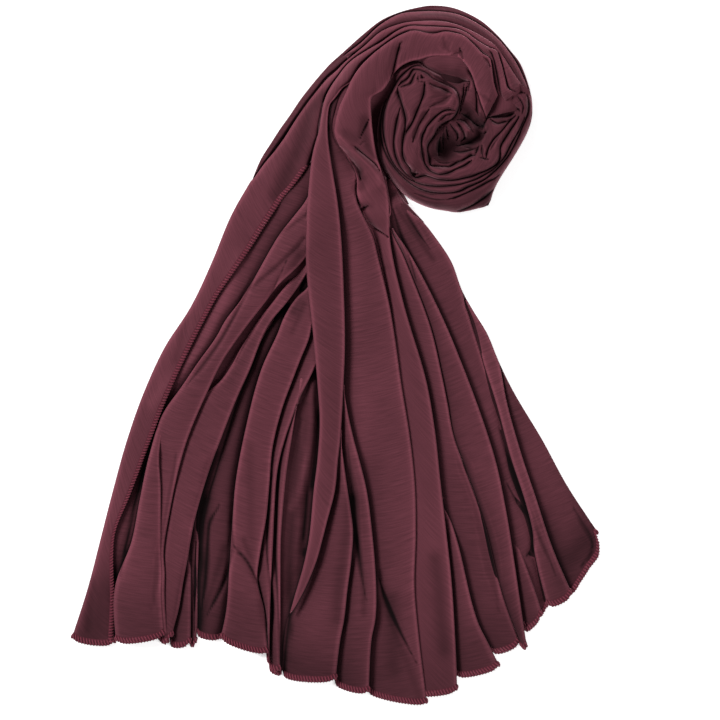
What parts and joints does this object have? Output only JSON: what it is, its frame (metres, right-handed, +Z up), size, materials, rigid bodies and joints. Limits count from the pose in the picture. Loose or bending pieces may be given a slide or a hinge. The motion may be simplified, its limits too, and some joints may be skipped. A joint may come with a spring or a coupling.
{
  "type": "headscarf",
  "caption": "Long jersey headscarf laid flat, one short end spread as a pleated fan, the rest gathered at a neck and wound into a rosette",
  "frame": {"origin": "middle of the underside's bounding box, where the scarf rests", "axes": "+X to the right as laid, +Y from the fan's hem to the rosette, +Z up from the surface it lies on"},
  "size_m": [0.4432, 0.595, 0.0341],
  "materials": {
    "jersey": "matt fine-gauge knitted jersey with a faint slub"
  },
  "bodies": {
    "root": {"fan_left": "jersey", "fan_right": "jersey", "neck_gather": "jersey", "rosette_outer_turn": "jersey", "rosette_lower_turn": "jersey", "rosette_second_turn": "jersey", "rosette_core": "jersey"}
  },
  "joints": []
}
